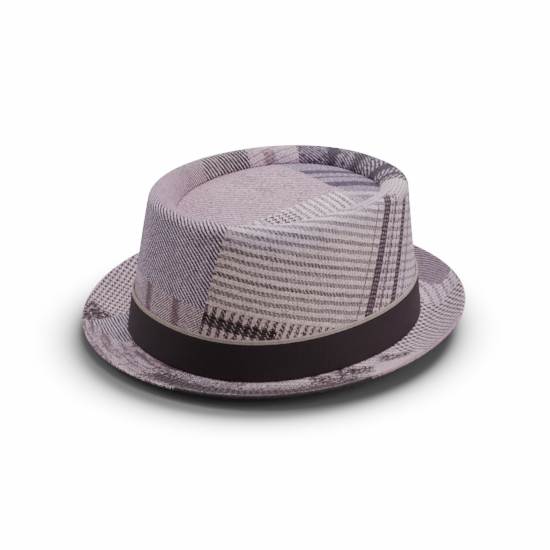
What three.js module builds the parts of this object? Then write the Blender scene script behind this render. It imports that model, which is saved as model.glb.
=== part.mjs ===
// Porkpie hat in patchwork cloth: a sloping crown with a rounded rim and a dished top,
// a short turned-up brim, a dark ribbon round the foot of the crown and a pale corded
// edging above the ribbon. Millimetres, +Z up. The wearer faces -Y and the wearer's
// left is +X. The flat underside of the brim's root lies on z = 0.
import * as THREE from "three";

// Cloth
const CLOTH = 2.0;
const CLEAR = 0.3;

// Crown, measured on its outside
const FOOT_LENGTH = 199.0;
const FOOT_WIDTH = 168.6;
const FOOT_FULLNESS = 0.026;
const CROWN_HEIGHT = 98.0;
const RIDGE_LENGTH = 168.2;
const RIDGE_WIDTH = 120.0;
const RIDGE_SQUARENESS = 2.26;
const RIDGE_FULLNESS = 0.067;
const RIDGE_SETBACK = 3.2;
const RIM_RADIUS = 7.0;

// Dished top
const WELL_INSET = 10.5;
const WELL_DEPTH = 12.0;
const TIP_RISE = 5.0;

// Brim
const BRIM_WIDTH = 36.5;
const BRIM_LIFT = 15.0;
const BRIM_FLAT = 4.0;
const BRIM_BEND = 1.7;

// Ribbon and its edging
const RIBBON_HEIGHT = 24.5;
const RIBBON_THICK = 1.2;
const EDGING_HEIGHT = 4.2;
const EDGING_THICK = 1.5;

// Set of the whole along Y, which brings the middle of its outline over the origin
const SHIFT = 2.3;

// Five stations from the front round to the back, the same on both sides.
// Each column is a share of the size it is named after.
const STATIONS = [
  { at: "front", height: 1.0, inset: 1.27, depth: 1.39, brim: 0.85, lift: 0.413 },
  { at: "front quarter", height: 0.997, inset: 0.94, depth: 1.27, brim: 0.937, lift: 0.529 },
  { at: "side", height: 0.982, inset: 0.63, depth: 0.99, brim: 1.0, lift: 0.873 },
  { at: "back quarter", height: 0.934, inset: 1.01, depth: 0.705, brim: 0.846, lift: 1.0 },
  { at: "back", height: 0.898, inset: 1.38, depth: 0.59, brim: 0.72, lift: 0.9 },
];

const AROUND = 72;

// Smooth curve through one column of the stations, as a cosine series in the angle from the front.
function roundCurve(column, size) {
  const last = STATIONS.length - 1;
  const half = (i) => (i === 0 || i === last ? 0.5 : 1);
  const terms = STATIONS.map((_, k) => {
    const sum = STATIONS.reduce(
      (total, row, j) => total + half(j) * row[column] * Math.cos((j * k * Math.PI) / last),
      0,
    );
    return (2 / last) * half(k) * sum * size;
  });
  return (angle) => terms.reduce((total, term, k) => total + term * Math.cos(k * angle), 0);
}

const ridgeHeight = roundCurve("height", CROWN_HEIGHT);
const wellInset = roundCurve("inset", WELL_INSET);
const wellDepth = roundCurve("depth", WELL_DEPTH);
const brimWidth = roundCurve("brim", BRIM_WIDTH);
const brimLift = roundCurve("lift", BRIM_LIFT);

// Foot of the crown: an oval a little fuller at the front.
function foot(angle) {
  const x = (FOOT_WIDTH / 2) * Math.sin(angle) * (1 + FOOT_FULLNESS * Math.cos(angle));
  const y = (-FOOT_LENGTH / 2) * Math.cos(angle);
  return new THREE.Vector2(x, y + SHIFT);
}

// Ridge of the rim: a squarer, smaller oval, taken at the same bearing as the foot.
function ridge(angle) {
  const bearing = Math.atan2(FOOT_WIDTH * Math.sin(angle), FOOT_LENGTH * Math.cos(angle));
  const across = Math.abs(Math.sin(bearing) / (RIDGE_WIDTH / 2)) ** RIDGE_SQUARENESS;
  const along = Math.abs(Math.cos(bearing) / (RIDGE_LENGTH / 2)) ** RIDGE_SQUARENESS;
  const reach = (across + along) ** (-1 / RIDGE_SQUARENESS);
  const x = reach * Math.sin(bearing) * (1 + RIDGE_FULLNESS * Math.cos(bearing));
  const y = -reach * Math.cos(bearing);
  return new THREE.Vector2(x, y + RIDGE_SETBACK + SHIFT);
}

// Point beside an oval, a distance out along its normal and at a height.
function beside(oval, angle, out, z) {
  const step = 0.01;
  const along = oval(angle + step).sub(oval(angle - step)).normalize();
  const at = oval(angle);
  return new THREE.Vector3(at.x + along.y * out, at.y - along.x * out, z);
}

// Closed mesh from rows of points: each row runs round the hat, and the rows follow each other
// round the section, so the last row joins the first.
function ringMesh(name, color, rows) {
  const points = rows.flat();
  const index = [];
  for (let r = 0; r < rows.length; r += 1) {
    const next = (r + 1) % rows.length;
    for (let i = 0; i < AROUND; i += 1) {
      const j = (i + 1) % AROUND;
      const a = r * AROUND + i;
      const b = r * AROUND + j;
      const c = next * AROUND + j;
      const d = next * AROUND + i;
      index.push(a, b, c, a, c, d);
    }
  }
  return meshOf(name, color, points, index);
}

function meshOf(name, color, points, index) {
  const geometry = new THREE.BufferGeometry().setFromPoints(points);
  geometry.setIndex(index);
  geometry.computeVertexNormals();
  const mesh = new THREE.Mesh(geometry, new THREE.MeshStandardMaterial({ color }));
  mesh.name = name;
  return mesh;
}

const ANGLES = Array.from({ length: AROUND }, (_, i) => (i * 2 * Math.PI) / AROUND);
const rowOf = (place) => ANGLES.map(place);

// Crown side: up the wall, over the rim and down the inner wall to the seam of the dished top.
// The wall's foot stands just clear of the brim's root.
const FOOT_Z = CLOTH + CLEAR;
const RIM_START = 78;

function wallTop(angle) {
  const turn = THREE.MathUtils.degToRad(RIM_START);
  const z = ridgeHeight(angle) - RIM_RADIUS * (1 - Math.cos(turn));
  return beside(ridge, angle, RIM_RADIUS * Math.sin(turn), z);
}

function wallAt(angle, share) {
  const low = beside(foot, angle, 0, FOOT_Z);
  return low.lerp(wallTop(angle), share);
}

function rimAt(angle, degrees) {
  const turn = THREE.MathUtils.degToRad(degrees);
  const z = ridgeHeight(angle) - RIM_RADIUS * (1 - Math.cos(turn));
  return beside(ridge, angle, RIM_RADIUS * Math.sin(turn), z);
}

function innerAt(angle, share) {
  const turn = THREE.MathUtils.degToRad(80);
  const out = -wellInset(angle) * (Math.sin(turn * share) / Math.sin(turn));
  const drop = wellDepth(angle) * ((1 - Math.cos(turn * share)) / (1 - Math.cos(turn)));
  return beside(ridge, angle, out, ridgeHeight(angle) - drop);
}

// Second face of a cloth sheet, its thickness behind the first; both edges are cut level.
function clothBehind(rows) {
  const last = rows.length - 1;
  return rows.map((row, r) =>
    row.map((point, i) => {
      const before = row[(i + AROUND - 1) % AROUND];
      const after = row[(i + 1) % AROUND];
      const up = rows[Math.min(r + 1, last)][i].clone().sub(rows[Math.max(r - 1, 0)][i]);
      const normal = after.clone().sub(before).cross(up).normalize();
      const behind = point.clone().addScaledVector(normal, -CLOTH);
      if (r === 0 || r === last) behind.z = point.z;
      return behind;
    }),
  );
}

function crownSide() {
  const outside = [
    ...[0, 0.25, 0.5, 0.75].map((share) => rowOf((angle) => wallAt(angle, share))),
    ...[RIM_START, 58, 38, 19, 0].map((turn) => rowOf((angle) => rimAt(angle, turn))),
    ...[0.25, 0.45, 0.65, 0.83, 1].map((share) => rowOf((angle) => innerAt(angle, share))),
  ];
  const inside = clothBehind(outside).reverse();
  return ringMesh("crown_side", 0x8f7f88, [...outside, ...inside]);
}

// Crown tip: a dished oval panel. Its margin lies just under the end of the inner wall and the
// middle swells up as a low plateau.
function tipPoint(angle, share, rise) {
  const edge = beside(ridge, angle, -wellInset(angle), 0);
  const middle = new THREE.Vector3(0, RIDGE_SETBACK + SHIFT, 0);
  const seam = ridgeHeight(angle) - wellDepth(angle);
  const level = (ridgeHeight(0) - wellDepth(0) + ridgeHeight(Math.PI) - wellDepth(Math.PI)) / 2;
  const point = middle.lerp(edge, share);
  const swell = TIP_RISE * (1 - share ** 4);
  point.z = level + (seam - level) * share ** 2 + swell - CLEAR + rise;
  return point;
}

function tipMargin(angle, rise) {
  const z = ridgeHeight(angle) - wellDepth(angle) - CLEAR + rise;
  return beside(ridge, angle, -wellInset(angle) + CLOTH * 0.85, z);
}

function crownTip() {
  const shares = [1, 0.94, 0.86, 0.74, 0.58, 0.38, 0.18];
  const face = (rise) => [
    rowOf((angle) => tipMargin(angle, rise)),
    ...shares.map((share) => rowOf((angle) => tipPoint(angle, share, rise))),
  ];
  const above = face(0);
  const below = face(-CLOTH);
  const rows = [...below.slice().reverse(), ...above];
  const points = [...rows.flat(), tipPoint(0, 0, -CLOTH), tipPoint(0, 0, 0)];
  const bottom = points.length - 2;
  const top = points.length - 1;
  const index = [];
  for (let i = 0; i < AROUND; i += 1) {
    const j = (i + 1) % AROUND;
    index.push(bottom, j, i);
    for (let r = 0; r < rows.length - 1; r += 1) {
      const a = r * AROUND;
      const b = (r + 1) * AROUND;
      index.push(a + i, a + j, b + j, a + i, b + j, b + i);
    }
    const end = (rows.length - 1) * AROUND;
    index.push(end + i, end + j, top);
  }
  return meshOf("crown_tip", 0xb8a6b0, points, index);
}

// Brim: a flat root that carries the crown's foot, then a sheet that bends up to a rounded edge.
// Its inner edge is flush with the inside of the crown.
function brimPoint(angle, share, side) {
  const reach = brimWidth(angle) - CLOTH / 2;
  const rise = brimLift(angle) - CLOTH / 2;
  const out = BRIM_FLAT + (reach - BRIM_FLAT) * share;
  const z = CLOTH / 2 + rise * share ** BRIM_BEND;
  const slope = (rise * BRIM_BEND * share ** (BRIM_BEND - 1)) / (reach - BRIM_FLAT);
  const tilt = Math.atan(slope);
  const turn = tilt + THREE.MathUtils.degToRad(side);
  const half = CLOTH / 2;
  return beside(foot, angle, out + half * Math.cos(turn), z + half * Math.sin(turn));
}

function brim() {
  const shares = [0, 0.16, 0.32, 0.48, 0.64, 0.82];
  const rows = [
    rowOf((angle) => beside(foot, angle, -CLOTH, CLOTH)),
    rowOf((angle) => beside(foot, angle, -CLOTH, 0)),
    ...shares.map((share) => rowOf((angle) => brimPoint(angle, share, -90))),
    ...[-90, -45, 0, 45, 90].map((side) => rowOf((angle) => brimPoint(angle, 1, side))),
    ...shares.slice().reverse().map((share) => rowOf((angle) => brimPoint(angle, share, 90))),
  ];
  return ringMesh("brim", 0xa3939e, rows);
}

// Ribbon and edging: bands that follow the slope of the wall, just clear of it.
function bandRow(z, out) {
  return rowOf((angle) => {
    const top = wallTop(angle);
    const point = wallAt(angle, (z - FOOT_Z) / (top.z - FOOT_Z));
    return point.add(beside(foot, angle, out, 0).sub(beside(foot, angle, 0, 0)));
  });
}

const RIBBON_LOW = FOOT_Z + CLEAR;
const RIBBON_TOP = RIBBON_LOW + RIBBON_HEIGHT;

function hatband() {
  const inner = CLEAR;
  const outer = CLEAR + RIBBON_THICK;
  const soft = RIBBON_THICK * 0.3;
  const rows = [
    bandRow(RIBBON_TOP, inner),
    bandRow(RIBBON_LOW, inner),
    bandRow(RIBBON_LOW, outer - soft),
    bandRow(RIBBON_LOW + soft, outer),
    bandRow(RIBBON_TOP - soft, outer),
    bandRow(RIBBON_TOP, outer - soft),
  ];
  return ringMesh("hatband", 0x33282c, rows);
}

// Two round cords side by side with a groove between them, on a flat back.
const CORD_SECTION = [
  { up: 0.0, out: 0.45 },
  { up: 0.1, out: 0.88 },
  { up: 0.27, out: 1.0 },
  { up: 0.42, out: 0.85 },
  { up: 0.5, out: 0.55 },
  { up: 0.58, out: 0.85 },
  { up: 0.73, out: 1.0 },
  { up: 0.9, out: 0.88 },
  { up: 1.0, out: 0.45 },
];

function hatbandTrim() {
  const low = RIBBON_TOP + CLEAR;
  const rows = [
    bandRow(low + EDGING_HEIGHT, CLEAR),
    bandRow(low, CLEAR),
    ...CORD_SECTION.map((row) => bandRow(low + EDGING_HEIGHT * row.up, CLEAR + EDGING_THICK * row.out)),
  ];
  return ringMesh("hatband_trim", 0xc9b9b3, rows);
}

const group = new THREE.Group();
group.add(crownSide());
group.add(crownTip());
group.add(brim());
group.add(hatband());
group.add(hatbandTrim());

export default group;
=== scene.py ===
import math
import bmesh
import bpy
import mathutils
import numpy as np
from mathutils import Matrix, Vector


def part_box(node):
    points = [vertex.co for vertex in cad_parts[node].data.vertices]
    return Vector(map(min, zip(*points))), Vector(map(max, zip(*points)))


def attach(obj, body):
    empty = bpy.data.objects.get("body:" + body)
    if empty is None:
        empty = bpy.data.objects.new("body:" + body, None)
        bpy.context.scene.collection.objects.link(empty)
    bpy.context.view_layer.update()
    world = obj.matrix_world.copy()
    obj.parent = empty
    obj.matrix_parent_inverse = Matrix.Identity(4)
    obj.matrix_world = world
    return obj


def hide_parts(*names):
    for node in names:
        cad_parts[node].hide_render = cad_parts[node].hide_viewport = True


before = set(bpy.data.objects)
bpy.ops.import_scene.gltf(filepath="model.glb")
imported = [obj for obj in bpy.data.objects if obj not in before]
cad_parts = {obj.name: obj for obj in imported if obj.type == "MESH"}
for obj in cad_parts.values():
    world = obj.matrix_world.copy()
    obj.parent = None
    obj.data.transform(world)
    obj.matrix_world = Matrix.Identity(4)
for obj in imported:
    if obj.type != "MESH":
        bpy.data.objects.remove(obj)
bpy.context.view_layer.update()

# Camera
# It stands in front of the hat on the wearer's left, 1.5 m away, and looks a little down.
camera_turn = math.radians(47.48)
camera_rise = math.radians(25.10)
camera_away = 1.5
camera_lens_mm = 151.27
film_mm = 36.0
aim = np.array([-0.0015, 0.0006, 0.0306])

camera_back = np.array([
    math.sin(camera_turn) * math.cos(camera_rise),
    -math.cos(camera_turn) * math.cos(camera_rise),
    math.sin(camera_rise),
])
camera_right = np.array([math.cos(camera_turn), math.sin(camera_turn), 0.0])
camera_up = np.cross(camera_back, camera_right)

camera_data = bpy.data.cameras.new("Camera")
camera_data.lens = camera_lens_mm
camera_data.sensor_width = film_mm
camera_data.clip_end = 20.0
camera = bpy.data.objects.new("Camera", camera_data)
bpy.context.collection.objects.link(camera)
axes = np.eye(4)
axes[:3, 0] = camera_right
axes[:3, 1] = camera_up
axes[:3, 2] = camera_back
axes[:3, 3] = aim + camera_back * camera_away
camera.matrix_world = mathutils.Matrix(axes.tolist())
bpy.context.scene.camera = camera


# Crown side
# One strip of patchwork wool cloth, blocked into a sloping wall that rolls over a rounded rim and
# down into the dish. Its ends meet in a seam at the back, and its top edge is sewn to the tip.
cloth_thick = 0.002
foot_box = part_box("crown_side")
foot_length = foot_box[1][1] - foot_box[0][1]
foot_width = foot_box[1][0] - foot_box[0][0]
foot_fullness = 0.026
foot_quarter = 0.033
foot_z = foot_box[0][2]
crown_height = foot_box[1][2]
crown_middle_y = (foot_box[1][1] + foot_box[0][1]) / 2
ridge_length = 0.1682
ridge_width = 0.1200
ridge_squareness = 2.26
ridge_fullness = 0.067
ridge_middle_y = crown_middle_y + 0.0032
rim_radius = 0.007
rim_start = math.radians(78)
well_inset = 0.0105
well_depth = 0.012
inner_turn = math.radians(80)
bearing_step = 1e-3

# Shares of the full sizes of crown and brim at the front, front quarter, side, back quarter and back.
stations = {
    "height": (1.0, 0.997, 0.982, 0.934, 0.898),
    "inset": (1.27, 0.94, 0.63, 1.01, 1.38),
    "depth": (1.39, 1.27, 0.99, 0.705, 0.59),
    "brim": (0.85, 0.937, 1.0, 0.846, 0.72),
    "lift": (0.413, 0.529, 0.873, 1.0, 0.9),
}


def round_curve(column, size, angle):
    """Cosine series in the angle from the front through the five stations of one column."""
    shares = np.array(stations[column])
    count = np.arange(shares.size)
    ends = np.where((count == 0) | (count == shares.size - 1), 0.5, 1.0)
    waves = np.cos(np.outer(count, count) * np.pi / (shares.size - 1))
    terms = 2 / (shares.size - 1) * ends * (waves @ (ends * shares)) * size
    return np.tensordot(terms, np.cos(np.multiply.outer(count, angle)), axes=1)


def plain_foot(angle):
    """Ellipse whose width grows by the fullness times the cosine of the angle from the front."""
    x = foot_width / 2 * np.sin(angle) * (1 + foot_fullness * np.cos(angle))
    y = crown_middle_y - foot_length / 2 * np.cos(angle)
    return np.stack([x, y], -1)


def quarter_swell(angle):
    """Squared sine of twice the angle, fading from the front to the back: full at the front quarters."""
    return foot_quarter * np.sin(2 * angle) ** 2 * (1 + np.cos(angle)) / 2


def foot_oval(angle):
    """The plain foot, moved away from the middle by its swell."""
    middle = np.array([0.0, crown_middle_y])
    return middle + (plain_foot(angle) - middle) * (1 + quarter_swell(angle))[..., None]


def ridge_oval(angle):
    """Superellipse taken at the bearing of the same angle on the foot, fuller at the front."""
    bearing = np.arctan2(foot_width * np.sin(angle), foot_length * np.cos(angle))
    across = np.abs(np.sin(bearing) / (ridge_width / 2)) ** ridge_squareness
    along = np.abs(np.cos(bearing) / (ridge_length / 2)) ** ridge_squareness
    reach = (across + along) ** (-1 / ridge_squareness)
    x = reach * np.sin(bearing) * (1 + ridge_fullness * np.cos(bearing))
    y = ridge_middle_y - reach * np.cos(bearing)
    return np.stack([x, y], -1)


def beside(oval, angle, out, z):
    """Point a distance out along the normal of an oval, at a height."""
    along = oval(angle + bearing_step) - oval(angle - bearing_step)
    along = along / np.linalg.norm(along, axis=-1, keepdims=True)
    at = oval(angle)
    x = at[..., 0] + along[..., 1] * out
    y = at[..., 1] - along[..., 0] * out
    return np.stack([x, y, z + 0 * angle], -1)


def rim_surface(angle, turn):
    """Arc of the rim's radius about a line under the ridge, from turn at the wall to 0 on top."""
    z = round_curve("height", crown_height, angle) - rim_radius * (1 - np.cos(turn))
    return beside(ridge_oval, angle, rim_radius * np.sin(turn), z)


def wall_surface(angle, share, out=0.0):
    """Line from the plain foot up to where the rim starts. The foot's swell fades with the cube of
    the share, and the point moves out along the foot's normal."""
    low = beside(plain_foot, angle, 0.0, foot_z)
    high = rim_surface(angle, rim_start)
    swell = beside(foot_oval, angle, out, 0.0) - beside(foot_oval, angle, 0.0, 0.0)
    fuller = beside(foot_oval, angle, 0.0, 0.0) - beside(plain_foot, angle, 0.0, 0.0)
    return low + (high - low) * share[..., None] + fuller * (1 - share**3)[..., None] + swell


def seam_height(angle):
    """Height of the seam between the inner wall and the tip: the ridge's less the depth."""
    return round_curve("height", crown_height, angle) - round_curve("depth", well_depth, angle)


def inner_surface(angle, share):
    """Quarter ellipse from the ridge down to the seam, inset across and depth down."""
    turn = inner_turn * share
    out = -round_curve("inset", well_inset, angle) * np.sin(turn) / math.sin(inner_turn)
    fall = (1 - np.cos(turn)) / (1 - math.cos(inner_turn))
    z = round_curve("height", crown_height, angle) - round_curve("depth", well_depth, angle) * fall
    return beside(ridge_oval, angle, out, z)


def surface_normals(points):
    """Unit cross product of the steps round and up a grid that closes round its columns."""
    around = np.roll(points, -1, axis=1) - np.roll(points, 1, axis=1)
    up = np.gradient(points, axis=0)
    normals = np.cross(around, up)
    return normals / np.linalg.norm(normals, axis=-1, keepdims=True)


def path_lengths(points):
    """Running sum of the distances between neighbouring rows."""
    steps = np.linalg.norm(np.diff(points, axis=0), axis=-1)
    return np.concatenate([np.zeros((1, points.shape[1])), np.cumsum(steps, axis=0)])


def oval_lengths_mm(oval, angles, out):
    """Running length in mm round the line a distance out from an oval."""
    return path_lengths(beside(oval, angles, out, 0.0)[:, None])[:, 0] * 1000


def closed(table):
    """The rows with the first one once more at the end."""
    return np.concatenate([table, table[:1]])


def quad_corners(count, around):
    """Row and column numbers of the four corners of each quad of a grid."""
    r, c = np.meshgrid(np.arange(count), np.arange(around), indexing="ij")
    corner_r = np.stack([r, r, r + 1, r + 1], -1).reshape(-1, 4)
    corner_c = np.stack([c, c + 1, c + 1, c], -1).reshape(-1, 4)
    return corner_r, corner_c


def ring_piece(name, rows, **maps):
    """Closed ring of quads. rows is (rows, columns, 3), and both directions close on themselves.
    Each map is (rows + 1, columns + 1, 2): its extra row and column are those of the closing faces."""
    count, around = rows.shape[:2]
    corner_r, corner_c = quad_corners(count, around)
    faces = (corner_r % count) * around + corner_c % around
    return finish_mesh(name, rows.reshape(-1, 3), faces, corner_r, corner_c, maps)


def finish_mesh(name, points, faces, corner_r, corner_c, maps):
    """Mesh object from points and quads, smooth shaded, with one UV map for each named map."""
    mesh = bpy.data.meshes.new(name)
    mesh.from_pydata(points.tolist(), [], faces.tolist())
    mesh.polygons.foreach_set("use_smooth", np.ones(len(faces), bool))
    for label, table in maps.items():
        layer = mesh.uv_layers.new(name=label)
        layer.data.foreach_set("uv", table[corner_r, corner_c].astype(np.float32).ravel())
    mesh.validate()
    mesh.update()
    piece = bpy.data.objects.new(name, mesh)
    bpy.context.collection.objects.link(piece)
    return piece


side_columns = 576
side_angles = np.linspace(-math.pi, math.pi, side_columns + 1)
wall_rows = 30
rim_rows = 14
inner_rows = 18


def even_rows(count, ends, angles):
    """Grids of a value in even rows between two ends, and of the angle of each column."""
    return np.meshgrid(np.linspace(*ends, count), angles, indexing="ij")


def crown_side_rows(angles):
    """Rows of the outside of the crown side, from the foot over the rim to the seam."""
    share, angle = even_rows(wall_rows + 1, (0, 1), angles)
    wall = wall_surface(angle, share)
    turn, angle = even_rows(rim_rows + 1, (rim_start, 0), angles)
    rim = rim_surface(angle, turn)
    share, angle = even_rows(inner_rows + 1, (0, 1), angles)
    inner = inner_surface(angle, share)
    return np.concatenate([wall, rim[1:], inner[1:]])


def both_faces(outside, thick):
    """Outside rows, then the same rows a thickness behind in the opposite order."""
    behind = outside - surface_normals(outside) * thick
    behind[0, :, 2] = outside[0, :, 2]
    behind[-1, :, 2] = outside[-1, :, 2]
    return np.concatenate([outside, behind[::-1]])


side_grid = crown_side_rows(side_angles)
side_outside = side_grid[:, :-1]
side_up_mm = path_lengths(side_grid) * 1000
foot_arc_mm = oval_lengths_mm(foot_oval, side_angles, 0.0)
side_arc_mm = np.broadcast_to(foot_arc_mm - foot_arc_mm[side_columns // 2], side_up_mm.shape)

# Lie of the cloth. Its columns lean outwards from a grain line just right of the front, and its rows
# fall away from the front on both sides.
column_line_mm = -12.3
column_fan_mm = 270.0
column_level_mm = 28.0
row_line_mm = -20.0
row_fall = 0.34
row_bend_mm = 110.0


def side_cloth(arc, up):
    """Cloth place in mm. Columns close up towards their line by a power of e with height. Rows fall
    by the logarithm of the hyperbolic cosine of the distance from theirs."""
    lean = np.exp(-(up - column_level_mm) / column_fan_mm)
    fall = row_fall * row_bend_mm * np.log(np.cosh((arc - row_line_mm) / row_bend_mm))
    return np.stack([(arc - column_line_mm) * lean, up + fall], -1)


def two_faced_map(table, behind):
    """Map for the outer face, then for the face behind it shifted aside, and the rows closing it."""
    return np.concatenate([table, table[::-1] + behind, table[:1]])


lining_shift = np.array([0.0, 1000.0])
side_place = two_faced_map(np.stack([side_arc_mm, side_up_mm], -1), lining_shift)
side_weave = two_faced_map(side_cloth(side_arc_mm, side_up_mm), lining_shift)
crown_side = ring_piece(
    "Crown_side_cloth", both_faces(side_outside, cloth_thick), cloth=side_weave, place=side_place
)


def add_node(tree, kind, values=None, **settings):
    """Shader node with its settings, and its inputs filled with constants or linked to outputs."""
    made = tree.nodes.new(kind)
    for key, value in settings.items():
        setattr(made, key, value)
    for key, value in (values or {}).items():
        if isinstance(value, bpy.types.NodeSocket):
            tree.links.new(value, made.inputs[key])
        else:
            made.inputs[key].default_value = value
    return made


def calc(tree, operation, *values):
    """Output of a Math node."""
    return add_node(tree, "ShaderNodeMath", dict(enumerate(values)), operation=operation).outputs[0]


def vector_calc(tree, operation, first, second):
    """Output of a Vector Math node."""
    return add_node(tree, "ShaderNodeVectorMath", {0: first, 1: second}, operation=operation).outputs[0]


def split(tree, vector):
    """Outputs of a node that takes a vector apart."""
    return add_node(tree, "ShaderNodeSeparateXYZ", {0: vector}).outputs


def combine(tree, **parts):
    """Output of a node that puts a vector together from its X, Y and Z."""
    return add_node(tree, "ShaderNodeCombineXYZ", parts).outputs[0]


def grey(tree, value):
    """Colour whose three parts are one value."""
    return add_node(tree, "ShaderNodeCombineColor", {0: value, 1: value, 2: value}).outputs[0]


def draw_lot(tree, place):
    """Number from 0 to 1 that looks random and is the same wherever the place is the same."""
    return add_node(tree, "ShaderNodeTexWhiteNoise", {"Vector": place}).outputs["Value"]


def noise(tree, place, scale, detail, **more):
    """Outputs of smooth noise over a place."""
    values = {"Vector": place, "Scale": scale, "Detail": detail, **more}
    return add_node(tree, "ShaderNodeTexNoise", values).outputs


def mix_values(tree, share, low, high):
    """low + share * (high - low)."""
    gap = calc(tree, "SUBTRACT", high, low)
    return calc(tree, "MULTIPLY_ADD", gap, share, low)


def mix_colours(tree, share, low, high, blend_type="MIX"):
    """Output of a Mix node for colours."""
    values = {0: share, 6: low, 7: high}
    made = add_node(
        tree, "ShaderNodeMix", values, data_type="RGBA", blend_type=blend_type, clamp_factor=True
    )
    return made.outputs[2]


def start_group(name, inputs, outputs):
    """New shader node group with sockets given as name: (type, default)."""
    group = bpy.data.node_groups.new(name, "ShaderNodeTree")
    for label, (kind, value) in inputs.items():
        socket = group.interface.new_socket(label, in_out="INPUT", socket_type="NodeSocket" + kind)
        if value is not None:
            socket.default_value = value
    for label, kind in outputs.items():
        group.interface.new_socket(label, in_out="OUTPUT", socket_type="NodeSocket" + kind)
    return group, group.nodes.new("NodeGroupInput").outputs, group.nodes.new("NodeGroupOutput").inputs


def use_group(tree, group, values):
    """Outputs of a node that places a group in a material."""
    return add_node(tree, "ShaderNodeGroup", values, node_tree=group).outputs


def twill_weave_group():
    """Twill. A yarn's number is the whole part of its place over the yarn's width. The warp lies on
    top where the sum of both numbers, over 4, leaves less than the warp's share of four yarns. Each
    yarn is dark where its number falls inside the dark part of its colour repeat. Fold turns the
    twill back. Painted shade darkens the colour between the yarns and painted light lifts it on
    their rounded tops, as far as the gap shade says. Lie is (turn, aside, along), Yarn is (width,
    height, fold), Weave is (warp's share, blend, gap shade), Columns is (repeat, dark yarns, 0) and
    Rows is (repeat, dark yarns, tint of the warp over light rows)."""
    tree, given, out = start_group(
        "Twill weave",
        {
            "Cloth": ("Vector", None),
            "Lie": ("Vector", (0.0, 0.0, 0.0)),
            "Yarn": ("Vector", (0.7, 0.7, 100000.0)),
            "Weave": ("Vector", (2.0, 0.3, 0.5)),
            "Columns": ("Vector", (8.0, 4.0, 0.0)),
            "Rows": ("Vector", (8.0, 4.0, 0.0)),
            "Light": ("Color", None),
            "Dark": ("Color", None),
        },
        {"Color": "Color", "Height": "Float"},
    )
    lie = split(tree, given["Lie"])
    yarn = split(tree, given["Yarn"])
    weave = split(tree, given["Weave"])
    columns = split(tree, given["Columns"])
    rows = split(tree, given["Rows"])
    turn = combine(tree, Z=lie[0])
    shift = combine(tree, X=lie[1], Y=lie[2])
    turned = add_node(
        tree, "ShaderNodeMapping", {"Vector": given["Cloth"], "Location": shift, "Rotation": turn}
    ).outputs[0]
    part = split(tree, vector_calc(tree, "DIVIDE", turned, given["Yarn"]))
    # Yarns are counted from far outside, so that no number is below zero.
    ahead = 4000.0
    twill_yarns = 4.0
    dark_play = 0.26
    tone_play = 0.22
    end_power = 0.6
    middle_height = 0.6
    x = calc(tree, "ADD", part[0], ahead)
    y = calc(tree, "ADD", part[1], ahead)
    column = calc(tree, "FLOOR", x)
    row = calc(tree, "FLOOR", y)
    folded = calc(tree, "FLOOR", calc(tree, "PINGPONG", calc(tree, "ADD", column, 0.5), yarn[2]))
    phase = calc(tree, "FLOORED_MODULO", calc(tree, "ADD", folded, row), twill_yarns)
    over = calc(tree, "LESS_THAN", calc(tree, "ADD", phase, 0.5), weave[0])
    column_place = calc(tree, "FLOORED_MODULO", column, columns[0])
    row_place = calc(tree, "FLOORED_MODULO", row, rows[0])
    column_dark = calc(tree, "LESS_THAN", calc(tree, "ADD", column_place, 0.5), columns[1])
    row_dark = calc(tree, "LESS_THAN", calc(tree, "ADD", row_place, 0.5), rows[1])
    seen = mix_values(tree, over, row_dark, column_dark)
    both = calc(tree, "MULTIPLY", calc(tree, "ADD", row_dark, column_dark), 0.5)
    dark = mix_values(tree, weave[1], seen, both)
    under = calc(tree, "SUBTRACT", 1.0, over)
    warp_name = calc(tree, "MULTIPLY", column, over)
    weft_name = calc(tree, "MULTIPLY", row, under)
    yarn_lot = draw_lot(tree, combine(tree, X=warp_name, Y=weft_name, Z=over))
    spot_lot = draw_lot(tree, combine(tree, X=column, Y=row))
    lot = calc(tree, "SUBTRACT", calc(tree, "ADD", yarn_lot, spot_lot), 1.0)
    light_row = calc(tree, "SUBTRACT", 1.0, row_dark)
    tint = calc(tree, "MULTIPLY", calc(tree, "MULTIPLY", over, light_row), rows[2])
    tinted = calc(tree, "ADD", dark, tint)
    soft_dark = calc(tree, "ADD", tinted, calc(tree, "MULTIPLY", lot, dark_play))
    plain = mix_colours(tree, soft_dark, given["Light"], given["Dark"])
    shade = calc(tree, "MULTIPLY_ADD", lot, tone_play, 1.0)
    x_part = calc(tree, "FRACT", x)
    y_part = calc(tree, "FRACT", y)
    width_part = mix_values(tree, over, y_part, x_part)
    round_across = calc(tree, "SINE", calc(tree, "MULTIPLY", width_part, math.pi))
    length_part = mix_values(tree, over, x_part, y_part)
    start = calc(tree, "SUBTRACT", phase, calc(tree, "MULTIPLY", under, weave[0]))
    length = mix_values(tree, over, calc(tree, "SUBTRACT", twill_yarns, weave[0]), weave[0])
    reached = calc(tree, "ADD", start, length_part)
    along = calc(tree, "DIVIDE", calc(tree, "MULTIPLY", reached, math.pi), length)
    round_along = calc(tree, "ABSOLUTE", calc(tree, "SINE", along))
    height = calc(tree, "MULTIPLY", round_across, calc(tree, "POWER", round_along, end_power))
    # Painted shade and light: the colour darkens where a yarn dips between its neighbours and lightens on
    # its rounded top.
    gap = calc(tree, "MULTIPLY_ADD", calc(tree, "SUBTRACT", height, middle_height), weave[2], 1.0)
    tone = grey(tree, calc(tree, "MULTIPLY", shade, gap))
    colour = mix_colours(tree, 1.0, plain, tone, "MULTIPLY")
    tree.links.new(colour, out["Color"])
    tree.links.new(height, out["Height"])
    return tree


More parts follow.
